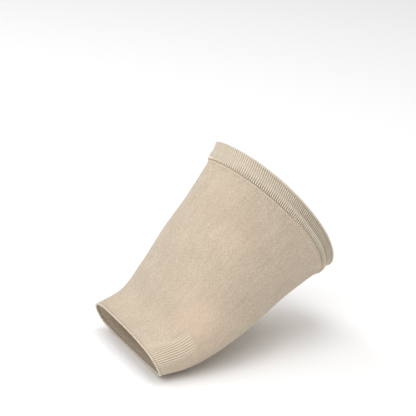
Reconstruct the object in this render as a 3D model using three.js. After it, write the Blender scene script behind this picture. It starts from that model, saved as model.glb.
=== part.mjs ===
// Arch support sleeve: a knitted tube for the middle of the foot, with a ribbed cuff at the ankle
// and a thin turned edge at the toes. It holds the form that it takes on a foot with a raised heel.
// Millimetres, +Z up. The toes point along -X, and the outer side of a left foot faces -Y.
import * as THREE from 'three';
import { ParametricGeometry } from 'three/addons/geometries/ParametricGeometry.js';
import { mergeVertices } from 'three/addons/utils/BufferGeometryUtils.js';

// The foot that the sleeve is stretched over
const SLEEVE_LENGTH = 126;      // along the sole, from the toe edge to the cuff's top edge
const INSTEP_HEIGHT = 96;       // from the sole to the instep, square to the leg, at the cuff's seam
const BALL_WIDTH = 88;          // across the ball of the foot

// The knitted tube
const KNIT_THICKNESS = 1;

// The ribbed cuff, two plies of the knit folded at its top edge
const CUFF_WIDTH = 12;
const PLY_THICKNESS = 0.8;
const TUCK_DEPTH = 3;           // how far the tube's end goes in between the two plies
const RIDGE_WIDTH = 4.5;        // from the seam to the crease
const BAND_RISE = 0.35;         // how far the cuff's face above the crease stands out of the tube's
const CREASE_DEPTH = 0.5;       // how far it is drawn in towards the sole
const RIM_THICKNESS = 2;        // of the fold at the top edge

// The turned edge at the toes
const TOE_EDGE_WIDTH = 1.2;
const TOE_EDGE_THICKNESS = 1.4;

// Between one piece and the next
const CLEARANCE = 0.3;

// Fineness of the mesh
const STEPS_AROUND = 80;
const LONGEST_STEP = 7;         // along the sleeve
const RIM_STEPS = 5;
const EDGE_STEPS = 8;

// Sections of the tube's outer face from the toe edge to the cuff's top edge, each on a plane that
// leans towards the toes by lean degrees. Run, rise and station are shares of SLEEVE_LENGTH, and run
// and rise place the sole. Height is a share of INSTEP_HEIGHT. Outer and inner, the half widths, and
// crest, the top's place, are shares of BALL_WIDTH, and so are bow, how far the sides bulge towards
// the ankle, and skew, how far the outer side is set back. Girth is the height of the widest place,
// a share of the section's own. Top and sole are the powers of the curves above and below it: 2 is
// an ellipse, and more is squarer.
const COLUMNS = ['station', 'run', 'rise', 'height', 'lean', 'outer', 'inner',
  'crest', 'girth', 'top', 'sole', 'bow', 'skew'];
const SECTIONS = [
  [0.000, 0.000, 0.000, 0.245, 22.0, 0.477, 0.480, -0.220, 0.50, 2.6, 3.4, -0.012, 0.020],
  [0.135, 0.150, 0.010, 0.320, 25.0, 0.494, 0.500, -0.205, 0.47, 2.4, 3.2, 0.006, 0.010],
  [0.270, 0.279, 0.049, 0.453, 27.5, 0.500, 0.490, -0.184, 0.39, 2.2, 3.1, 0.000, 0.000],
  [0.470, 0.464, 0.127, 0.619, 32.0, 0.477, 0.450, -0.161, 0.36, 2.2, 3.1, 0.023, 0.000],
  [0.690, 0.668, 0.209, 0.797, 35.0, 0.407, 0.410, -0.077, 0.36, 2.2, 2.8, 0.067, 0.013],
  [0.905, 0.876, 0.264, 1.000, 36.0, 0.368, 0.370, -0.049, 0.39, 2.25, 2.1, 0.056, 0.067],
  [1.000, 0.969, 0.283, 1.091, 36.5, 0.355, 0.350, -0.089, 0.43, 2.3, 1.8, 0.047, 0.081],
];

// The crease runs round the sole and fades out on the way up the sides, between these two shares of
// the way from the widest place to the instep
const CREASE_FULL = 0.2;
const CREASE_GONE = 0.75;

const SEAM = SLEEVE_LENGTH - CUFF_WIDTH;

const COLOURS = {
  knit: 0xd3c1a6,
  cuff: 0xc9b99c,
  edge: 0xdccdb4,
};

const shape = new THREE.CubicInterpolant(
  SECTIONS.map((row) => row[0]),
  SECTIONS.flatMap((row) => row.slice(1)),
  COLUMNS.length - 1,
);

// The section's sizes at a distance along the sleeve, in millimetres and radians
function sectionAt(along) {
  const shares = shape.evaluate(along / SLEEVE_LENGTH);
  const share = Object.fromEntries(COLUMNS.slice(1).map((name, i) => [name, shares[i]]));
  return {
    run: share.run * SLEEVE_LENGTH,
    rise: share.rise * SLEEVE_LENGTH,
    height: share.height * INSTEP_HEIGHT,
    lean: THREE.MathUtils.degToRad(share.lean),
    outer: share.outer * BALL_WIDTH,
    inner: share.inner * BALL_WIDTH,
    crest: share.crest * BALL_WIDTH,
    girth: share.girth,
    top: share.top,
    sole: share.sole,
    bow: share.bow * BALL_WIDTH,
    skew: share.skew,
  };
}

// A point of the tube's outer face. The angle starts at the outer side and rises over the instep.
function facePoint(along, angle) {
  const section = sectionAt(along);
  const cos = Math.cos(angle);
  const sin = Math.sin(angle);
  const upper = sin >= 0;
  const power = upper ? section.top : section.sole;
  const reach = (Math.abs(cos) ** power + Math.abs(sin) ** power) ** (-1 / power);

  const middle = upper ? section.crest : 0;
  const side = cos >= 0 ? section.outer : -section.inner;
  const widest = section.girth * section.height;
  const limit = upper ? section.height : 0;
  const across = middle + (side - middle) * Math.abs(cos) * reach;
  const up = widest + (limit - widest) * Math.abs(sin) * reach;

  const arch = 1 - (2 * up / section.height - 1) ** 2;
  const back = section.bow * arch + section.skew * 2 * across;
  return new THREE.Vector3(
    section.run - up * Math.sin(section.lean) + back * Math.cos(section.lean),
    -across,
    section.rise + up * Math.cos(section.lean) + back * Math.sin(section.lean),
  );
}

// The same point moved out of the face, along its normal
function offsetPoint(along, angle, outward) {
  const near = 0.01;
  const low = Math.max(along - near, 0);
  const high = Math.min(along + near, SLEEVE_LENGTH);
  const lengthwise = facePoint(high, angle).sub(facePoint(low, angle));
  const round = facePoint(along, angle + near).sub(facePoint(along, angle - near));
  const normal = lengthwise.cross(round).normalize();
  return facePoint(along, angle).addScaledVector(normal, outward);
}

// How deep the crease is, from 0 over the instep to 1 under the sole
function creaseAt(angle) {
  return 1 - THREE.MathUtils.smoothstep(Math.sin(angle), CREASE_FULL, CREASE_GONE);
}

// A corner of a wall's profile: its distance along the sleeve, its distance out of the tube's outer
// face, and how far the crease draws it in
function corner(along, outward, drawn = 0) {
  return { along, outward, drawn };
}

// Breaks the long edges of a closed profile into steps
function divide(profile) {
  return profile.flatMap((from, i) => {
    const to = profile[(i + 1) % profile.length];
    const steps = Math.ceil(Math.abs(to.along - from.along) / LONGEST_STEP) || 1;
    return Array.from({ length: steps }, (_, k) => corner(
      THREE.MathUtils.lerp(from.along, to.along, k / steps),
      THREE.MathUtils.lerp(from.outward, to.outward, k / steps),
      THREE.MathUtils.lerp(from.drawn, to.drawn, k / steps),
    ));
  });
}

// Part of an ellipse in a profile, from one angle in degrees to another
function arc(along, outward, halfLength, halfThickness, from, to, steps) {
  return Array.from({ length: steps + 1 }, (_, k) => {
    const angle = THREE.MathUtils.degToRad(THREE.MathUtils.lerp(from, to, k / steps));
    return corner(along + halfLength * Math.cos(angle), outward + halfThickness * Math.sin(angle));
  });
}

// A closed wall: its profile, listed anticlockwise, carried once round the foot
function wallAround(name, profile, colour) {
  const corners = divide(profile);
  const geometry = new ParametricGeometry((u, v, target) => {
    const angle = u * 2 * Math.PI;
    const { along, outward, drawn } = corners[Math.round(v * corners.length) % corners.length];
    target.copy(offsetPoint(along, angle, outward - drawn * creaseAt(angle)));
  }, STEPS_AROUND, corners.length);
  geometry.deleteAttribute('normal');
  geometry.deleteAttribute('uv');
  const closed = mergeVertices(geometry, 1e-4);
  closed.computeVertexNormals();
  const material = new THREE.MeshStandardMaterial({ color: colour, roughness: 0.95, metalness: 0 });
  const mesh = new THREE.Mesh(closed, material);
  mesh.name = name;
  return mesh;
}

// The knitted tube, from the toe edge to its end between the cuff's plies
function knitSleeve() {
  const start = TOE_EDGE_WIDTH + CLEARANCE;
  const end = SEAM + TUCK_DEPTH;
  return wallAround('knit_sleeve', [
    corner(end, 0),
    corner(start, 0),
    corner(start, -KNIT_THICKNESS),
    corner(end, -KNIT_THICKNESS),
  ], COLOURS.knit);
}

// The cuff: two plies that grip the tube's end, one band above it, and a round fold at the top
function ankleCuff() {
  const legFace = CLEARANCE + PLY_THICKNESS;
  const slotFloor = -KNIT_THICKNESS - CLEARANCE;
  const innerFace = slotFloor - PLY_THICKNESS;
  const slotEnd = SEAM + TUCK_DEPTH + CLEARANCE;
  const crease = SEAM + RIDGE_WIDTH;
  const bandInner = BAND_RISE - 2 * PLY_THICKNESS;
  const rimHalf = RIM_THICKNESS / 2;
  const rimMiddle = (BAND_RISE + bandInner) / 2;
  const rimStart = SLEEVE_LENGTH - rimHalf;
  const shoulder = RIDGE_WIDTH / 3;
  const lip = PLY_THICKNESS / 2;

  return wallAround('ankle_cuff', [
    ...arc(rimStart, rimMiddle, rimHalf, rimHalf, -90, 90, RIM_STEPS),
    corner(rimStart - rimHalf, BAND_RISE, CREASE_DEPTH / 2),
    corner(crease + shoulder, BAND_RISE, CREASE_DEPTH),
    corner(crease, (BAND_RISE + legFace) / 2, CREASE_DEPTH),
    corner(crease - shoulder / 2, legFace),
    corner(SEAM + shoulder, legFace),
    ...arc(SEAM + lip, CLEARANCE + lip, lip, lip, 90, 270, 3),
    corner(slotEnd, CLEARANCE),
    corner(slotEnd, slotFloor),
    ...arc(SEAM + lip, slotFloor - lip, lip, lip, 90, 270, 3),
    corner(slotEnd, innerFace),
    corner(crease + shoulder, bandInner, CREASE_DEPTH / 2),
  ], COLOURS.cuff);
}

// The thin round edge that finishes the tube at the toes
function toeEdge() {
  const half = TOE_EDGE_WIDTH / 2;
  const ring = arc(half, -KNIT_THICKNESS / 2, half, TOE_EDGE_THICKNESS / 2, 0, 360, EDGE_STEPS);
  return wallAround('toe_edge', ring.slice(0, EDGE_STEPS), COLOURS.edge);
}

// The origin is the middle of the hollow, halfway along the sleeve and halfway up its section
function middleOfHollow() {
  const section = sectionAt(SLEEVE_LENGTH / 2);
  const up = section.height / 2;
  return new THREE.Vector3(
    section.run - up * Math.sin(section.lean),
    0,
    section.rise + up * Math.cos(section.lean),
  );
}

const archSupportSleeve = new THREE.Group();
archSupportSleeve.name = 'arch_support_sleeve';
archSupportSleeve.add(knitSleeve(), ankleCuff(), toeEdge());
archSupportSleeve.position.copy(middleOfHollow()).negate();

export default archSupportSleeve;
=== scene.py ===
"""Looks of the arch support sleeve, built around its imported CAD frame.

Sizes are millimetres, in the frame's axes, until a mesh or the camera is made of them.
"""
import math

import bpy
import numpy as np
from mathutils import Matrix, Vector


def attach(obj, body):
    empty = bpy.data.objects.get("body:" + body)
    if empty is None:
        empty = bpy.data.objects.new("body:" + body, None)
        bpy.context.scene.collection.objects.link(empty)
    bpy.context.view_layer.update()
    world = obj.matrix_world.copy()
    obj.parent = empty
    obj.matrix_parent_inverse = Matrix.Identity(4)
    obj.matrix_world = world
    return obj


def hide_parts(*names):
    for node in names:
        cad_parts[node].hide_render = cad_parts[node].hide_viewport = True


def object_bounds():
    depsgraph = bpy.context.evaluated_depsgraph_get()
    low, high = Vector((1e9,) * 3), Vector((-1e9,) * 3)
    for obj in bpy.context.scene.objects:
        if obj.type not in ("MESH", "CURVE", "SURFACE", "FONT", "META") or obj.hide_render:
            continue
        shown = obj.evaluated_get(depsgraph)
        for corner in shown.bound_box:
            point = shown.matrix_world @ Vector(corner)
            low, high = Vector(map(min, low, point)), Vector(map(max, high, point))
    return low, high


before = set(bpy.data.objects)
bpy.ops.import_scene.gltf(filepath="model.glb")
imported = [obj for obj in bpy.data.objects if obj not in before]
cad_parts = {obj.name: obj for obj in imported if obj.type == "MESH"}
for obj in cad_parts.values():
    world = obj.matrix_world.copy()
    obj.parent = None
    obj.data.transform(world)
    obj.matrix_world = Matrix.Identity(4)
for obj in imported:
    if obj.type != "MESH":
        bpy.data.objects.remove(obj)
cad_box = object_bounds()

MM = 0.001

# Sizes of the real sleeve, as in the CAD
SLEEVE_LENGTH = 126.0
INSTEP_HEIGHT = 96.0
BALL_WIDTH = 88.0
KNIT_THICKNESS = 1.0
CUFF_WIDTH = 12.0
PLY_THICKNESS = 0.8
TUCK_DEPTH = 3.0
RIDGE_WIDTH = 4.5
BAND_RISE = 0.35
CREASE_DEPTH = 0.5
RIM_THICKNESS = 2.0
TOE_EDGE_WIDTH = 1.2
TOE_EDGE_THICKNESS = 1.4
CLEARANCE = 0.3
CREASE_FULL = 0.2       # the crease is whole up to this sine of the angle round the foot
CREASE_GONE = 0.75      # and gone from this one on
SEAM = SLEEVE_LENGTH - CUFF_WIDTH
CREASE = SEAM + RIDGE_WIDTH

# Sections of the tube's outer face, as shares of the sizes above, with the lean in degrees
COLUMNS = ("station", "run", "rise", "height", "lean", "outer", "inner",
           "crest", "girth", "top", "sole", "bow", "skew")
SECTIONS = np.array([
    [0.000, 0.000, 0.000, 0.245, 22.0, 0.477, 0.480, -0.220, 0.50, 2.6, 3.4, -0.012, 0.020],
    [0.135, 0.150, 0.010, 0.320, 25.0, 0.494, 0.500, -0.205, 0.47, 2.4, 3.2, 0.006, 0.010],
    [0.270, 0.279, 0.049, 0.453, 27.5, 0.500, 0.490, -0.184, 0.39, 2.2, 3.1, 0.000, 0.000],
    [0.470, 0.464, 0.127, 0.619, 32.0, 0.477, 0.450, -0.161, 0.36, 2.2, 3.1, 0.023, 0.000],
    [0.690, 0.668, 0.209, 0.797, 35.0, 0.407, 0.410, -0.077, 0.36, 2.2, 2.8, 0.067, 0.013],
    [0.905, 0.876, 0.264, 1.000, 36.0, 0.368, 0.370, -0.049, 0.39, 2.25, 2.1, 0.056, 0.067],
    [1.000, 0.969, 0.283, 1.091, 36.5, 0.355, 0.350, -0.089, 0.43, 2.3, 1.8, 0.047, 0.081],
])

# The knit: stitches round the tube, and courses along it
WALES = 200
PATCH_RIBS = 150        # ribs that would go round, at the pitch of the stretched patch by the toes
COURSE_PITCH = 0.9
FINENESS = 2.0          # stitches drawn by the material to each wale and course
LEG_LEAN = 1.1          # courses that a stitch's leg rises over a wale's width

# The meshes
WALE_STEPS = 6          # to each wale
OUTLINE_POINTS = 1441   # of a section, when its outline is measured
NEAR = 0.02             # reach of the differences that give a normal, in millimetres and radians
BEAD_SIDES = 12
THREAD_SIDES = 6
THREAD_TIP = 0.04       # a thread's thickness at its ends, squared, as a share of the middle's
TOE_GAP = 0.02          # between the toe edge's bead and the tube
KNIT_SPARE = 0.15       # by which the tube's wall is thinner than in the CAD
PLY_SPARE = 0.05        # by which the cuff's inner ply is thicker where it grips the tube
LIP_ROUND = 0.8         # roundness of the outer ply's edge at the seam
TUBE_START = TOE_EDGE_WIDTH + TOE_GAP
TUBE_END = SEAM + TUCK_DEPTH

# Fine relief, which the CAD leaves out
WALE_RELIEF = 0.03
PATCH_RELIEF = 0.26
RIB_RELIEF = 0.625      # of the cuff, before each row's own share
LOOP_RELIEF = 0.06      # of the toe edge
SLACK_RELIEF = 0.2      # slow hollows in the tube's cloth
SLACK_PITCH = 17        # millimetres to a radian
SLACK_TWIST = 31
SLACK_SWING = 2.2       # radians by which they run ahead over the instep and lag under the sole
SEAM_FADE = 12          # the slack fades out over this length
TOE_FADE = 8
RIBS_END = SEAM + 0.3   # inside the cuff the tube has no ribs

# The rib patch by the little toe: its lower and upper borders, from bare to ribbed, in degrees
# round the foot at the toe edge and their change with each millimetre, and its end along the foot
PATCH_LOWER = ((-8, 0.35), (3, 0.35))
PATCH_UPPER = ((50, -0.85), (38, -0.6))
PATCH_END = (27.5, 23.5)

# The cuff's ribs: degrees from the instep's crest at which they begin and are whole, on the band
# and at the top edge, and how much of them is left on the crest
RIBS_BEGIN = (10, 2)
RIBS_WHOLE = (38, 26)
RIBS_ON_CREST = 0.12
TOP_EDGE = (120, 125)

# Bands along the sleeve, each with its middle, its width and its height, which is else 1
SWELL = (SEAM - 1.6, 0.7, 0.24)                     # relief of the cloth below the seam
RIM_SWELL = (SLEEVE_LENGTH - 0.7, 0.6, 0.66)        # relief of the top edge below the instep
RIDGE_RIBS = (SEAM + 1.0, 0.8, 0.2)                 # more of the ribs
CREASE_RIBS = (CREASE, 1.1, 0.5)                    # less of the ribs
# painted highlight along the top of the swell below the seam
SWELL_HIGHLIGHT_BAND = (SEAM - 1.7, 0.4)
# painted shade in the groove between the swell and the seam
GROOVE = (SEAM - 0.9, 0.35)
# painted shade in the crease, by the seam and below the rim
CREASE_SHADE = (CREASE + 0.5, 0.7, 0.6)
LOW_SEAM_SHADE = (SEAM + 0.5, 0.7, 1.3)
LOW_CREASE_SHADE = (CREASE + 1.0, 0.6, 0.5)
RIM_SHADE = (SLEEVE_LENGTH - 2.0, 0.45, 1.2)
# painted highlight on the ridge below the crease, on the low side
RIDGE_HIGHLIGHT = (CREASE - 0.5, 0.4, 0.5)
HIGHLIGHT_SHIFT = 0.4        # how far the painted highlight on the swell and the painted shade in the groove lie nearer the cuff on the low side
GROOVE_SHIFT = 0.8
BAND_SHADE = 0.4        # painted shade on the whole band above the crease, in the crease and on the low side
LOW_BAND_SHADE = 0.25
RIBS_FACING = 0.35      # more painted shade in the furrows on the outer side, where the light meets the ribs squarely and their relief shows little shade

# Where the bands fade, from nothing to all of them: along the sleeve, by the sine of the angle
# round the foot, and in degrees round the foot from the outer side
SWELL_FADE = (SEAM - 0.3, SEAM - 1.1)
BAND_BOTTOM = (CREASE - 0.3, CREASE + 0.6)
BAND_TOP = (SLEEVE_LENGTH - 0.9, SLEEVE_LENGTH - 2)
LOW_BAND_BOTTOM = (CREASE, CREASE + 1.5)
RIM_HIGHLIGHT_FADE = (SLEEVE_LENGTH - 1.5, SLEEVE_LENGTH - 1.0)
RIM_SWELL_FADE = (0.9, 0.5)
RIM_FADE = (0.93, 0.6)
GROOVE_FADE = (0.98, 0.85)
FACING = (45, 0)
LOW_SIDE_UPPER = (28, 5)
LOW_SIDE_LOWER = (-120, -60)

# Faint warmth where skin shows through the stretched knit: strength, then the middle and the
# width along the sleeve, and the same in degrees round the foot
WARM_PATCHES = (
    (0.85, 36, 18, 20, 32),
    (0.50, 93, 16, 66, 14),
    (0.50, 84, 16, 40, 16),
)

# Colours as the eye sees them, 0 to 255, the pale and the dark one of each mottled material first
KNIT_COLOURS = ((221, 204, 182), (212, 195, 172))
RIB_COLOURS = ((249, 234, 211), (241, 226, 202))
EDGE_COLOURS = ((230, 217, 198), (222, 208, 187))
THREAD_COLOURS = ((247, 234, 213), (240, 226, 203))
WARM = (222, 190, 168)
# painted highlight on the cuff's rim and on the ridge below its crease
RIM_HIGHLIGHT = (221, 207, 187)
# painted light over the rib patch by the little toe
PATCH_HIGHLIGHT = (236, 220, 198)
# painted highlight on the swell below the seam
SWELL_HIGHLIGHT = (238, 226, 206)
FLOOR_WHITE = (0.97, 0.97, 0.97, 1)

# The knit's material: noises, how strongly each thing darkens or tints it, painted shade and
# painted highlights among them, and its bumps
MOTTLE = {"Scale": 60.0, "Detail": 4.0, "Roughness": 0.55}
MOTTLE_RANGE = (0.34, 0.66)
GRAIN = {"Scale": 1150.0, "Detail": 3.0, "Roughness": 0.7}
GRAIN_RANGE = (0.3, 0.7)
STREAK = {"Scale": 1.0, "Detail": 1.0}
STREAK_RANGE = (0.3, 0.7)
STREAK_PITCH = (0.55, 0.05, 0)      # to a wale and to a course
STREAK_SHADE = 0.09
SHADE_AND_SPECK_SHARE = 0.3                    # the colour of painted shade in furrows, grooves and creases, and of grain and streaks, as a share of the dark one
LEG_SHADE = 0.5                     # painted shade between the stitch legs, as a share of that in the furrows
WARM_TINT = 0.4
# painted light over the rib patch, and painted shade in its furrows
PATCH_HIGHLIGHT_SHARE = 0.8
PATCH_FURROW_SHADE = 0.6
GROOVE_SHADE = 0.5
SWELL_HIGHLIGHT_SHARE = 0.15
# painted shade in the cuff's furrows, and its even stand-in where the ribs fade
RIB_FURROW_SHADE = 0.8
FURROW_POWER = 1.3
PLAIN_SHADE = 0.45
FOLD_SHADE = 0.35
RIM_HIGHLIGHT_SHARE = 0.65
STITCH_HEIGHT = 0.6
STITCH_BUMP = (0.5, 0.00012 / FINENESS)     # strength, and distance in metres
GRAIN_BUMP = (0.4, 0.00008)
KNIT_SURFACE = {"Roughness": 0.9, "Specular IOR Level": 0.25,
                "Sheen Weight": 0.2, "Sheen Roughness": 0.5}
FLOOR_SURFACE = {"Base Color": FLOOR_WHITE, "Roughness": 0.8, "Specular IOR Level": 0.1}
MIX_A, MIX_B, MIX_RESULT = 6, 7, 2          # the colour sockets of a Mix node

# The camera's place, read off the photograph: it looks at a point near the sleeve's middle
CAMERA_AZIMUTH = -24.4
CAMERA_ELEVATION = 21.2
CAMERA_DISTANCE = 900.0
CAMERA_REACH = 20.0     # metres
PIXELS_A_MM = 1.7153    # at that distance
FRAME_PIXELS = 416
SENSOR = 36.0
LOOK_AT = (7.93, 0.0, 1.55)
LOOK_RIGHT = -6.03
LOOK_UP = 34.86

# The floor and the lamps, in metres and watts
FLOOR_REACH = 6.0
FLOOR_GAP = 0.0002
LAMPS = (
    # name, place, size, power
    ("overhead", (0.0, 0.0, 1.5), 0.9, 6.8),
    ("left", (-1.1, -0.4, 0.9), 1.0, 5.85),
    ("front", (-0.2, -0.85, 1.15), 1.0, 6.25),
    ("behind", (-0.5, 0.9, 1.1), 1.0, 6.6),
)
ROOM_LIGHT = 0.41


def sections_at(along):
    """The section's shares at distances along the sleeve: the CAD's cubic through the rows."""
    stations, values = SECTIONS[:, 0], SECTIONS[:, 1:]
    t = np.clip(np.asarray(along, float) / SLEEVE_LENGTH, 0, 1)
    last = len(stations) - 1
    i1 = np.clip(np.searchsorted(stations, t, side="right"), 1, last)
    i0 = i1 - 1
    start, end = stations[i0], stations[i1]
    first, final = i0 == 0, i1 == last
    before = np.where(first, i1, i0 - 1)
    after = np.where(final, i0, np.minimum(i1 + 1, last))
    half = (end - start) / 2
    wb = half / (start - stations[before])
    wa = half / (stations[after] - end)
    p = (t - start) / (end - start)
    p2, p3 = p ** 2, p ** 3
    terms = (
        (-wb * p3 + 2 * wb * p2 - wb * p, before),
        ((1 + wb) * p3 + (-1.5 - 2 * wb) * p2 + (wb - 0.5) * p + 1, i0),
        ((-1 - wa) * p3 + (1.5 + wa) * p2 + 0.5 * p, i1),
        (wa * p3 - wa * p2, after),
    )
    rows = sum(weight[..., None] * values[index] for weight, index in terms)
    return {name: rows[..., k] for k, name in enumerate(COLUMNS[1:])}


def face_points(along, angle):
    """Points of the tube's outer face before it is centred. The angle has the full shape."""
    share = sections_at(along)
    lean = np.radians(share["lean"])
    height = share["height"] * INSTEP_HEIGHT
    cos, sin = np.cos(angle), np.sin(angle)
    upper = sin >= 0
    power = np.where(upper, share["top"], share["sole"])
    reach = (np.abs(cos) ** power + np.abs(sin) ** power) ** (-1 / power)
    middle = np.where(upper, share["crest"] * BALL_WIDTH, 0)
    side = np.where(cos >= 0, share["outer"], -share["inner"]) * BALL_WIDTH
    widest = share["girth"] * height
    limit = np.where(upper, height, 0)
    across = middle + (side - middle) * np.abs(cos) * reach
    up = widest + (limit - widest) * np.abs(sin) * reach
    arch = 1 - (2 * up / height - 1) ** 2
    back = share["bow"] * BALL_WIDTH * arch + share["skew"] * 2 * across
    return np.stack([
        share["run"] * SLEEVE_LENGTH - up * np.sin(lean) + back * np.cos(lean),
        -across,
        share["rise"] * SLEEVE_LENGTH + up * np.cos(lean) + back * np.sin(lean),
    ], axis=-1)


def middle_of_hollow():
    """The frame's origin: the hollow's middle, halfway along the sleeve."""
    share = sections_at(SLEEVE_LENGTH / 2)
    up = share["height"] * INSTEP_HEIGHT / 2
    lean = np.radians(share["lean"])
    return np.array([
        share["run"] * SLEEVE_LENGTH - up * np.sin(lean),
        0.0,
        share["rise"] * SLEEVE_LENGTH + up * np.cos(lean),
    ])


ORIGIN = middle_of_hollow()


def unit(vectors):
    """Vectors brought to length 1."""
    return vectors / np.linalg.norm(vectors, axis=-1, keepdims=True)


def angle_of_turn(along, turn):
    """The angle at a share of the way round, measured along each section's own outline."""
    fine = np.linspace(0, 2 * np.pi, OUTLINE_POINTS)
    rows = []
    for place, shares in zip(along[:, 0], np.broadcast_to(turn, (len(along), turn.shape[1]))):
        steps = np.linalg.norm(np.diff(face_points(place, fine), axis=0), axis=1)
        length = np.concatenate([[0], np.cumsum(steps)])
        rows.append(np.interp(shares * length[-1], length, fine))
    return np.array(rows)


def surface(along, turn):
    """Points of the outer face on a grid, with its normals and angles."""
    angle = angle_of_turn(along, turn)
    low = np.maximum(along - NEAR, 0)
    high = np.minimum(along + NEAR, SLEEVE_LENGTH)
    lengthwise = face_points(high, angle) - face_points(low, angle)
    around = face_points(along, angle + NEAR) - face_points(along, angle - NEAR)
    return face_points(along, angle) - ORIGIN, unit(np.cross(lengthwise, around)), angle


def bump_at(value, middle, width, height=1.0):
    """A smooth bump of some height round a middle value."""
    return height * np.exp(-((value - middle) / width) ** 2)


def smooth(value, low, high):
    """0 to 1 as value goes from low to high, which may be the smaller one, with soft ends."""
    t = np.clip((value - low) / (high - low), 0, 1)
    return t * t * (3 - 2 * t)


def wave(turn, per_turn):
    """A cosine that goes round a number of times in a turn."""
    return np.cos(2 * np.pi * per_turn * turn)


def degrees_of(angle):
    """An angle as -180 to 180 degrees: 0 is the outer side and 90 the instep."""
    return np.degrees(np.where(angle > np.pi, angle - 2 * np.pi, angle))


def low_side(angle):
    """1 on the lower outer side, and 0 over the instep and on the inner side."""
    side = degrees_of(angle)
    return smooth(side, *LOW_SIDE_UPPER) * smooth(side, *LOW_SIDE_LOWER)


def crease_at(angle):
    """How deep the cuff's crease is, from 0 over the instep to 1 under the sole."""
    return smooth(np.sin(angle), CREASE_GONE, CREASE_FULL)


def slack_at(along, angle):
    """Slow hollows in the tube's cloth, which fade out towards both of its ends."""
    drift = np.sin(along / SLACK_PITCH + SLACK_SWING * np.sin(angle))
    twist = np.sin(2 * angle + along / SLACK_TWIST)
    fade = (np.clip((SEAM - along) / SEAM_FADE, 0, 1)
            * np.clip((along - TUBE_START) / TOE_FADE, 0, 1))
    return SLACK_RELIEF * drift * twist * fade


def rib_patch(along, angle):
    """Where the knit is stretched until its ribs show: by the little toe, on the outer side."""
    side = degrees_of(angle)
    lower = [start + change * along for start, change in PATCH_LOWER]
    upper = [start + change * along for start, change in PATCH_UPPER]
    return smooth(side, *lower) * smooth(side, *upper) * smooth(along, *PATCH_END)


def rib_strength(along, angle):
    """How clearly the cuff's ribs show: least over the instep and in the crease."""
    from_crest = np.abs(degrees_of(angle) - 90)
    from_crest = np.minimum(from_crest, 360 - from_crest)
    edge = smooth(along, *TOP_EDGE)
    begin, whole = (band + (top - band) * edge for band, top in (RIBS_BEGIN, RIBS_WHOLE))
    around = RIBS_ON_CREST + (1 - RIBS_ON_CREST) * smooth(from_crest, begin, whole)
    return around * (1 - bump_at(along, *CREASE_RIBS)) * (1 + bump_at(along, *RIDGE_RIBS))


def rows_of(*corners):
    """Rows of a wall's profile, each being along, outward, drawn and relief.

    drawn is how far the row is drawn in where the crease is whole, and relief its share of the fine
    relief. A corner also has the number of rows from it up to the next. The last is not a row.
    """
    return [
        [a + (b - a) * t for a, b in zip(here[:-1], after[:-1])]
        for here, after in zip(corners, corners[1:])
        for t in np.arange(here[-1]) / here[-1]
    ]


def arc_rows(along, outward, radius, begin, end, steps, relief):
    """Rows of a profile on an arc round a centre, between two angles in degrees."""
    turns = np.radians(begin + (end - begin) * np.arange(steps) / steps)
    return [[along + radius * math.cos(a), outward + radius * math.sin(a), 0, relief]
            for a in turns]


def link_new(name, data):
    """A new object in the scene, for a mesh, a lamp or a camera."""
    thing = bpy.data.objects.new(name, data)
    bpy.context.collection.objects.link(thing)
    return thing


def mesh_piece(name, points, faces):
    """A piece with smooth faces through points in millimetres."""
    mesh = bpy.data.meshes.new(name)
    mesh.from_pydata((points * MM).tolist(), [], faces)
    mesh.polygons.foreach_set("use_smooth", [True] * len(mesh.polygons))
    mesh.update()
    return link_new(name, mesh)


def closed_grid(name, points, along, turn):
    """A piece from a grid that closes both ways, with the knit's own coordinates on its corners."""
    rows, count = points.shape[:2]
    index = np.arange(rows * count).reshape(rows, count)
    below = np.roll(index, -1, axis=0)
    quads = np.stack([index, np.roll(index, -1, 1), np.roll(below, -1, 1), below], axis=-1)
    piece = mesh_piece(name, points.reshape(-1, 3), quads.reshape(-1, 4).tolist())
    here, turns = np.broadcast_arrays(along, turn)
    after = np.roll(here, -1, axis=0)
    next_turns = turns + 1 / count
    wale = np.stack([turns, next_turns, next_turns, turns], -1) * WALES
    course = np.stack([here, here, after, after], -1) / COURSE_PITCH
    knit = np.stack([wale, course, 0 * wale], -1)
    layer = piece.data.attributes.new("knit", "FLOAT_VECTOR", "CORNER")
    layer.data.foreach_set("vector", knit.astype(np.float32).ravel())
    return piece


def closed_wall(name, rows, relief):
    """A wall, its profile carried once round the foot: the piece, with its distances and angles.

    relief gives the height of the fine relief, from the grid.
    """
    along, outward, drawn, share = np.array(rows).T[..., None]
    count = WALES * WALE_STEPS
    turn = (np.arange(count) / count)[None, :]
    points, normal, angle = surface(along, turn)
    height = outward - drawn * crease_at(angle) + relief(along, turn, angle) * share
    return closed_grid(name, points + normal * height[..., None], along, turn), along, angle


def paint(piece, name, values):
    """A number on each point of a piece, for its material."""
    layer = piece.data.attributes.new(name, "FLOAT", "POINT")
    layer.data.foreach_set("value", np.asarray(values, np.float32).ravel())


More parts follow.
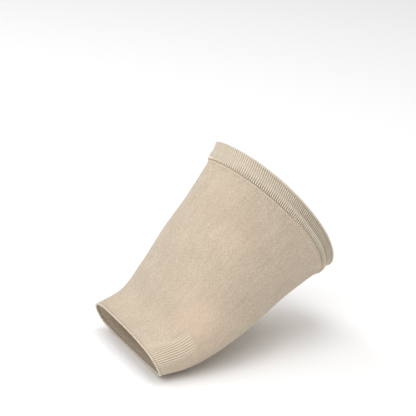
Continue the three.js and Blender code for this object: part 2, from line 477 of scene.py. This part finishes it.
def knit_sleeve():
    """The tube, with its wales as fine ridges, and the swell and slack of its cloth."""
    inside = KNIT_SPARE - KNIT_THICKNESS

    def relief(along, turn, angle):
        patch = rib_patch(along, angle)
        wales = WALE_RELIEF * wave(turn, WALES) * (1 - patch)
        ribs = PATCH_RELIEF * wave(turn, PATCH_RIBS) * patch
        swell = bump_at(along, *SWELL) * smooth(along, *SWELL_FADE)
        return (wales + ribs) * (along < RIBS_END) + swell + slack_at(along, angle)

    rows = rows_of(
        # along, outward, drawn, relief, rows up to the next corner
        (TUBE_END, -0.15, 0, 0, 3),
        (SEAM + 0.6, -0.05, 0, 1, 16),
        (SEAM - 4, 0, 0, 1, 42),
        (TUBE_START + 0.3, 0, 0, 1, 1),
        (TUBE_START, -0.3, 0, 0, 1),
        (TUBE_START, inside, 0, 0, 16),
        (TUBE_END, inside, 0, 0, 0),
    )
    piece, along, angle = closed_wall("sleeve_knit", rows, relief)
    side, low = degrees_of(angle), low_side(angle)
    # painted shade in the groove between the swell and the seam, broken into dashes at each wale by
    # the material
    groove = bump_at(along - GROOVE_SHIFT * low, *GROOVE) * smooth(np.sin(angle), *GROOVE_FADE)
    paint(piece, "warm", sum(strength * bump_at(along, place, length) * bump_at(side, way, width)
                             for strength, place, length, way, width in WARM_PATCHES))
    # the rib patch, which gets painted light on its ribs and painted shade in its furrows
    paint(piece, "ribbed", rib_patch(along, angle))
    # painted highlight along the top of the swell below the seam
    paint(piece, "painted_swell_highlight", bump_at(along - HIGHLIGHT_SHIFT * low, *SWELL_HIGHLIGHT_BAND))
    paint(piece, "groove", groove)
    return piece


def ankle_cuff():
    """The ribbed cuff: ridge, crease, band and rolled rim, with ribs across all of them."""
    leg = CLEARANCE + PLY_THICKNESS
    inner = -KNIT_THICKNESS - CLEARANCE - PLY_THICKNESS
    floor = -KNIT_THICKNESS - CLEARANCE + PLY_SPARE
    band_inner = BAND_RISE - 2 * PLY_THICKNESS
    half = RIM_THICKNESS / 2
    rim = SLEEVE_LENGTH - half
    middle = (BAND_RISE + band_inner) / 2
    slot = TUBE_END + CLEARANCE
    lip = PLY_THICKNESS / 2
    front = SEAM + lip
    edge = LIP_ROUND * lip

    def relief(along, turn, angle):
        ribs = RIB_RELIEF * (wave(turn, WALES) - 1) * rib_strength(along, angle)
        return ribs + bump_at(along, *RIM_SWELL) * smooth(np.sin(angle), *RIM_SWELL_FADE)

    rows = [
        *arc_rows(rim, middle, half, -90, 90, 8, 0.10),
        *rows_of(
            # along, outward, drawn, relief, rows up to the next corner
            (rim, BAND_RISE + 0.1, 0, 0.1, 2),
            (rim - 0.7, BAND_RISE, 0.1, 0.30, 8),
            (CREASE + 1.1, BAND_RISE, CREASE_DEPTH, 0.32, 3),
            (CREASE + 0.2, BAND_RISE + 0.2, CREASE_DEPTH, 0.2, 3),
            (CREASE - 0.9, leg - 0.05, 0, 0.2, 6),
            (SEAM + 1.0, leg, 0, 0.32, 2),
            (front, leg - 0.15, 0, 0.5, 0),
        ),
        *arc_rows(front, CLEARANCE + edge, edge, 90, 270, 5, 0.35),
        *rows_of(
            (front, CLEARANCE, 0, 0, 2),
            (slot, CLEARANCE, 0, 0, 2),
            (slot, floor, 0, 0, 2),
            (front, floor, 0, 0, 0),
        ),
        *arc_rows(front, floor - lip, lip, 90, 270, 4, 0),
        *rows_of(
            (front, inner, 0, 0, 3),
            (slot, inner, 0, 0, 2),
            (CREASE + 1.5, band_inner, CREASE_DEPTH / 2, 0, 4),
            (rim, band_inner, 0, 0, 0),
        ),
    ]
    piece, along, angle = closed_wall("cuff_ribs", rows, relief)
    low = low_side(angle)
    # painted shade in the crease and on the band above it, by the seam and in the crease on the low
    # side, and below the rim away from the instep
    off_instep = smooth(np.sin(angle), *RIM_FADE)
    band = BAND_SHADE * smooth(along, *BAND_BOTTOM) * smooth(along, *BAND_TOP)
    low_band = LOW_BAND_SHADE * smooth(along, *LOW_BAND_BOTTOM)
    crease_shade_paint = (bump_at(along, *CREASE_SHADE) + band) * crease_at(angle)
    low_side_shade_paint = bump_at(along, *LOW_SEAM_SHADE) + bump_at(along, *LOW_CREASE_SHADE) + low_band
    # painted shade in the furrows made stronger where the light meets the outer side squarely
    facing = 1 + RIBS_FACING * smooth(degrees_of(angle), *FACING)
    paint(piece, "painted_fold_shade", crease_shade_paint + low_side_shade_paint * low + bump_at(along, *RIM_SHADE) * off_instep)
    # painted highlight on the rim's top away from the instep, and on the ridge below the crease on
    # the low side
    paint(piece, "rim", smooth(along, *RIM_HIGHLIGHT_FADE) * off_instep + bump_at(along, *RIDGE_HIGHLIGHT) * low)
    paint(piece, "ribs", rib_strength(along, angle) * facing)
    return piece


def toe_edge():
    """The thin turned edge at the toes, a round bead with a loop to each wale."""
    half = TOE_EDGE_WIDTH / 2
    thick = TOE_EDGE_THICKNESS / 2
    turns = np.linspace(0, 2 * np.pi, BEAD_SIDES, endpoint=False)
    rows = [[half + half * math.cos(a), -KNIT_THICKNESS / 2 + thick * math.sin(a), 0, LOOP_RELIEF]
            for a in turns]
    return closed_wall("toe_edge_bead", rows, lambda along, turn, angle: wave(turn, WALES))[0]


def thread_loops(name, start, end, lift, arch, radius, slant, steps, sunk=0.0):
    """A row of short threads round the foot, one to a wale, from one distance along to another.

    lift is how far each end is off the tube's face, and arch how much further the middle is.
    sunk is how far they are drawn in on the low side, and slant how many wales they lean over.
    """
    t = np.linspace(0, 1, steps)[:, None]
    turn = (np.arange(WALES) + slant * (t - 0.5)) / WALES % 1.0
    points, normals, angle = surface(start + (end - start) * t, turn)
    height = lift[0] + (lift[1] - lift[0]) * t + arch * np.sin(np.pi * t) - sunk * low_side(angle)
    path = points + normals * height[..., None]
    tangent = unit(np.gradient(path, axis=0))
    across = unit(np.cross(tangent, normals))
    upright = np.cross(across, tangent)
    thin = radius * np.sqrt(np.clip(1 - (2 * t - 1) ** 4, THREAD_TIP, 1))
    turns = 2 * np.pi * np.arange(THREAD_SIDES)[:, None] / THREAD_SIDES
    ring = np.cos(turns) * across[..., None, :] + np.sin(turns) * upright[..., None, :]
    tubes = path[..., None, :] + thin[..., None, None] * ring
    index = np.arange(WALES * steps * THREAD_SIDES).reshape(WALES, steps, THREAD_SIDES)
    here, after = index[:, :-1], index[:, 1:]
    quads = np.stack([here, after, np.roll(after, -1, -1), np.roll(here, -1, -1)], axis=-1)
    caps = index[:, 0].tolist() + index[:, -1, ::-1].tolist()
    faces = quads.reshape(-1, 4).tolist() + caps
    return mesh_piece(name, tubes.swapaxes(0, 1).reshape(-1, 3), faces)


class Shader:
    """A material's nodes, joined by short calls."""

    def __init__(self, name, surface):
        self.material = bpy.data.materials.new(name)
        self.material.use_nodes = True
        self.tree = self.material.node_tree
        self.surface = self.tree.nodes["Principled BSDF"]
        self.fill(self.surface, surface)

    def fill(self, node, inputs):
        """Put values, or other nodes' outputs, on a node's inputs."""
        for key, value in inputs.items():
            if isinstance(value, bpy.types.NodeSocket):
                self.tree.links.new(value, node.inputs[key])
            else:
                node.inputs[key].default_value = value

    def node(self, kind, inputs, **properties):
        """A new node with these properties and inputs."""
        made = self.tree.nodes.new(kind)
        for key, value in properties.items():
            setattr(made, key, value)
        self.fill(made, inputs)
        return made

    def math(self, operation, a, b=0.0, clamp=False):
        made = self.node("ShaderNodeMath", {0: a, 1: b}, operation=operation, use_clamp=clamp)
        return made.outputs[0]

    def times(self, a, b, clamp=False):
        return self.math("MULTIPLY", a, b, clamp)

    def plus(self, a, b, clamp=False):
        return self.math("ADD", a, b, clamp)

    def minus(self, a, b):
        return self.math("SUBTRACT", a, b)

    def mix(self, factor, a, b):
        made = self.node("ShaderNodeMix", {}, data_type="RGBA")
        self.fill(made, {"Factor": factor, MIX_A: a, MIX_B: b})
        return made.outputs[MIX_RESULT]

    def attribute(self, name, output="Fac"):
        return self.node("ShaderNodeAttribute", {}, attribute_name=name).outputs[output]

    def painted(self, name, share=1.0):
        """What was painted on the piece under a name, times a share, between 0 and 1."""
        return self.times(self.attribute(name), share, clamp=True)

    def noise(self, place, inputs):
        return self.node("ShaderNodeTexNoise", {"Vector": place, **inputs}).outputs["Fac"]

    def ramp(self, value, low, high):
        """0 to 1 as value goes from low to high."""
        inputs = {"Value": value, "From Min": low, "From Max": high}
        return self.node("ShaderNodeMapRange", inputs).outputs["Result"]

    def wave(self, count):
        """1 at each whole number of count, and 0 halfway between."""
        turned = self.math("COSINE", self.times(count, 2 * math.pi))
        return self.plus(self.times(turned, 0.5), 0.5)

    def away_from(self, value, share):
        """share where value is 0, and nothing where it is 1."""
        return self.times(self.minus(1.0, value), share)

    def bump(self, height, strength, distance, **under):
        inputs = {"Strength": strength, "Distance": distance, "Height": height, **under}
        return self.node("ShaderNodeBump", inputs).outputs["Normal"]


def linear(red, green, blue):
    """A colour given as the eye sees it, from 0 to 255, as the renderer's linear values."""
    def one(value):
        value /= 255
        return value / 12.92 if value <= 0.04045 else ((value + 0.055) / 1.055) ** 2.4
    return (one(red), one(green), one(blue), 1.0)


def stitches(shader, knit):
    """A jersey's face from the knit's own coordinates, with the count of its wales.

    The first value is its legs, which lean both ways from each wale's middle, and the second the
    wales' ridges.
    """
    counts = shader.node("ShaderNodeSeparateXYZ", {0: knit}).outputs
    wale = shader.times(counts[0], FINENESS)
    course = shader.times(counts[1], FINENESS)
    across = shader.math("ABSOLUTE", shader.minus(shader.math("FRACT", wale), 0.5))
    legs = shader.wave(shader.minus(course, shader.times(across, LEG_LEAN)))
    return legs, shader.wave(wale), counts[0]


def knit_material(name, colours, furrow_shade=0.12, speck=0.36, tuck=None):
    """Matt knit: stitch legs, painted shade in the furrows between the wales and between the legs,
    fibre grain, streaks and soft mottling.

    The third argument is how dark the painted shade in the furrows is, and speck how dark the grain
    is. tuck adds what one piece has of its own, from the shader, the colour so far, the wale count
    and the colour that painted shade and specks go to.
    """
    pale, dark = (linear(*colour) for colour in colours)
    shade_and_speck_colour = (*(SHADE_AND_SPECK_SHARE * part for part in dark[:3]), 1.0)
    shader = Shader(name, KNIT_SURFACE)
    knit = shader.attribute("knit", "Vector")
    place = shader.node("ShaderNodeTexCoord", {}).outputs["Object"]
    legs, ridge, wale = stitches(shader, knit)
    mottle = shader.ramp(shader.noise(place, MOTTLE), *MOTTLE_RANGE)
    grain = shader.ramp(shader.noise(place, GRAIN), *GRAIN_RANGE)
    drawn = shader.node("ShaderNodeVectorMath", {0: knit, 1: STREAK_PITCH}, operation="MULTIPLY")
    streak = shader.ramp(shader.noise(drawn.outputs[0], STREAK), *STREAK_RANGE)
    # painted shade in the furrows and between the legs, with the grain and streaks that darken the
    # knit itself
    shade = shader.plus(shader.away_from(ridge, furrow_shade), shader.away_from(legs, LEG_SHADE * furrow_shade))
    shade = shader.plus(shade, shader.away_from(grain, speck))
    shade = shader.plus(shade, shader.away_from(streak, STREAK_SHADE), clamp=True)
    colour = shader.mix(shade, shader.mix(mottle, dark, pale), shade_and_speck_colour)
    if tuck:
        colour = tuck(shader, colour, wale, shade_and_speck_colour)
    height = shader.plus(shader.times(legs, STITCH_HEIGHT), shader.times(ridge, STITCH_HEIGHT))
    under = shader.bump(height, *STITCH_BUMP)
    normal = shader.bump(grain, *GRAIN_BUMP, Normal=under)
    shader.fill(shader.surface, {"Base Color": colour, "Normal": normal})
    return shader.material


def stretched_knit(shader, colour, wale, shade_and_speck_colour):
    """The tube's warm patches; painted light over its rib patch and painted shade in the patch's
    furrows; painted shade in the groove by the seam, and a painted highlight on the swell below it.
    """
    ridge = shader.wave(shader.times(wale, PATCH_RIBS / WALES))
    furrow_shade = shader.times(shader.away_from(ridge, PATCH_FURROW_SHADE), shader.painted("ribbed"))
    groove = shader.times(shader.painted("groove", GROOVE_SHADE), shader.wave(wale))
    for factor, other in (
        (shader.painted("warm", WARM_TINT), linear(*WARM)),
        (shader.painted("ribbed", PATCH_HIGHLIGHT_SHARE), linear(*PATCH_HIGHLIGHT)),
        (furrow_shade, shade_and_speck_colour),
        (groove, shade_and_speck_colour),
        (shader.painted("painted_swell_highlight", SWELL_HIGHLIGHT_SHARE), linear(*SWELL_HIGHLIGHT)),
    ):
        colour = shader.mix(factor, colour, other)
    return colour


def ribbed_cuff(shader, colour, wale, shade_and_speck_colour):
    """The cuff's painted shade in its furrows, in its crease, by the seam, on its upper band and
    below its rim, and its painted highlights on the rim and on the ridge below the crease.
    """
    ribs = shader.attribute("ribs")
    # painted shade in the furrows between the ribs, and an even painted shade where the ribs fade
    # out, standing in for the shade of the furrows
    furrow_shade = shader.math("POWER", shader.minus(1.0, shader.wave(wale)), FURROW_POWER)
    furrow_shade = shader.times(furrow_shade, shader.times(ribs, RIB_FURROW_SHADE))
    plain = shader.math("MAXIMUM", shader.away_from(ribs, PLAIN_SHADE), 0.0)
    for factor, other in (
        (shader.plus(furrow_shade, plain, clamp=True), shade_and_speck_colour),
        (shader.painted("painted_fold_shade", FOLD_SHADE), shade_and_speck_colour),
        (shader.painted("rim", RIM_HIGHLIGHT_SHARE), linear(*RIM_HIGHLIGHT)),
    ):
        colour = shader.mix(factor, colour, other)
    return colour


def dress(piece, material, slot, *nodes):
    """Give a piece its material and its body, and hide the CAD nodes whose place it takes. The slot
    is not used.
    """
    piece.data.materials.append(material)
    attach(piece, "root")
    if nodes:
        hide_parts(*nodes)


def build_sleeve():
    """All the pieces of the sleeve, each with its own finish."""
    knit = knit_material("knit_beige", KNIT_COLOURS, speck=0.42, tuck=stretched_knit)
    rib = knit_material("rib_beige", RIB_COLOURS, furrow_shade=0.05, speck=0.32, tuck=ribbed_cuff)
    pale = knit_material("edge_beige", EDGE_COLOURS, furrow_shade=0.10)
    thread = knit_material("thread_beige", THREAD_COLOURS, furrow_shade=0.0, speck=0.1)

    sleeve = knit_sleeve()
    cuff = ankle_cuff()
    bead = toe_edge()
    seam = thread_loops("seam_stitches", start=SEAM - 0.7, end=SEAM + 0.75, lift=(0.40, 1.0),
                        arch=0.34, radius=0.30, slant=0.35, steps=9, sunk=0.8)
    second = thread_loops("hem_stitches", start=SEAM - 2.35, end=SEAM - 1.85, lift=(0.14, 0.22),
                          arch=0.08, radius=0.14, slant=0.9, steps=6)

    dress(sleeve, knit, "knit", "knit_sleeve")
    dress(cuff, rib, "cuff_rib", "ankle_cuff")
    dress(bead, pale, "edge", "toe_edge")
    dress(seam, thread, "thread")
    dress(second, thread, "thread")


def view_axes():
    """The photograph's directions: back towards the camera, right and up."""
    azimuth, elevation = math.radians(CAMERA_AZIMUTH), math.radians(CAMERA_ELEVATION)
    level = math.cos(elevation)
    back = Vector((math.sin(azimuth) * level, -math.cos(azimuth) * level, math.sin(elevation)))
    right = Vector((math.cos(azimuth), math.sin(azimuth), 0))
    return back, right, back.cross(right)


def add_camera():
    """The camera, where the photograph was taken from."""
    back, right, up = view_axes()
    aim = Vector(LOOK_AT) + LOOK_RIGHT * right + LOOK_UP * up
    data = bpy.data.cameras.new("camera")
    data.sensor_width = SENSOR
    data.lens = SENSOR * PIXELS_A_MM * CAMERA_DISTANCE / FRAME_PIXELS
    data.clip_end = CAMERA_REACH
    camera = link_new("camera", data)
    turn = Matrix((right, up, back)).transposed().to_4x4()
    camera.matrix_world = Matrix.Translation((aim + CAMERA_DISTANCE * back) * MM) @ turn
    bpy.context.scene.camera = camera


def add_floor():
    """A plain white floor just under the sleeve."""
    square = ((-1, -1), (1, -1), (1, 1), (-1, 1))
    height = cad_box[0][2] - FLOOR_GAP
    mesh = bpy.data.meshes.new("floor")
    corners = [(x * FLOOR_REACH, y * FLOOR_REACH, height) for x, y in square]
    mesh.from_pydata(corners, [], [(0, 1, 2, 3)])
    mesh.materials.append(Shader("floor_white", FLOOR_SURFACE).material)
    link_new("floor", mesh)


def add_lights():
    """Large soft lamps above, to the left, in front and behind, in a pale room."""
    for name, place, size, power in LAMPS:
        data = bpy.data.lights.new(name, "AREA")
        data.size = size
        data.energy = power
        light = link_new(name, data)
        light.location = place
        light.rotation_euler = (-Vector(place)).to_track_quat("-Z", "Y").to_euler()
    world = bpy.data.worlds.new("room")
    world.use_nodes = True
    background = world.node_tree.nodes["Background"]
    background.inputs["Color"].default_value = (1, 1, 1, 1)
    background.inputs["Strength"].default_value = ROOM_LIGHT
    bpy.context.scene.world = world
    bpy.context.scene.view_settings.view_transform = "Standard"


add_camera()
add_floor()
add_lights()
build_sleeve()
